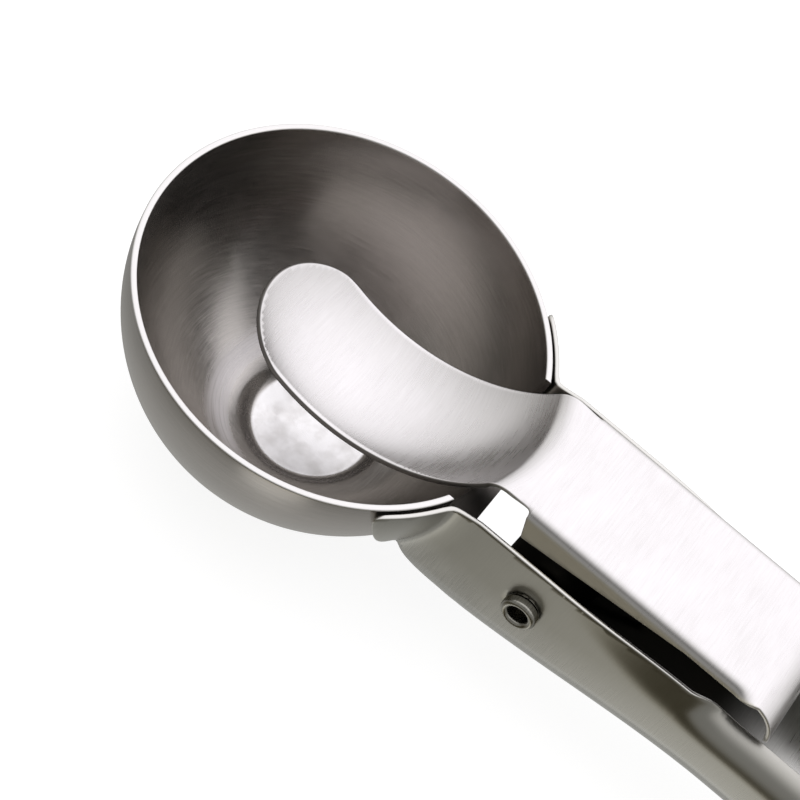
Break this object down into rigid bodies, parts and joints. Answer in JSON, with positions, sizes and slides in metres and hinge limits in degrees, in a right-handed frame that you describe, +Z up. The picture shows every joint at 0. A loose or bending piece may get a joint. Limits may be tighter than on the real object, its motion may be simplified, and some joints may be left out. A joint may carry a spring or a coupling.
{
  "type": "ice cream scoop",
  "caption": "Steel ice cream scoop: a round bowl on a folded sheet handle, and a sprung thumb lever whose dished tongue sweeps the bowl to push the ball of ice cream out.",
  "frame": {"origin": "middle of the scoop's underside: half-way along its length, on its plane of symmetry, level with the flat of the bowl's base", "axes": "+X along the handle from the bowl to the hanging hole, +Y to the side of the rivet's plain head, +Z up out of the bowl's mouth"},
  "size_m": [0.1814, 0.0516, 0.0304],
  "materials": {
    "bowl_steel": "satin, brushed round the bowl, with a bright rim edge",
    "handle_steel": "satin, brushed across the sheet, dull and dark inside",
    "lever_steel": "fine brushed from side to side, bright",
    "pivot_steel": "smooth, worn bright at the rolled end",
    "spring_steel": "drawn wire, smooth"
  },
  "bodies": {
    "scoop_body": {"bowl": "bowl_steel", "handle": "handle_steel", "pivot_rivet": "pivot_steel", "pivot_washer_near": "pivot_steel", "pivot_washer_far": "pivot_steel", "return_spring": "spring_steel"},
    "thumb_lever": {"lever": "lever_steel"}
  },
  "joints": [
    {"name": "lever_press", "type": "hinge", "parent": "scoop_body", "child": "thumb_lever", "pos_m": [-0.02766, 0, 0.01972], "axis": [0, 1, 0], "range_deg": [-25, 0], "stiffness_Nm_per_rad": 0.17, "springref_deg": -50.42, "deforming": ["return_spring"]}
  ]
}
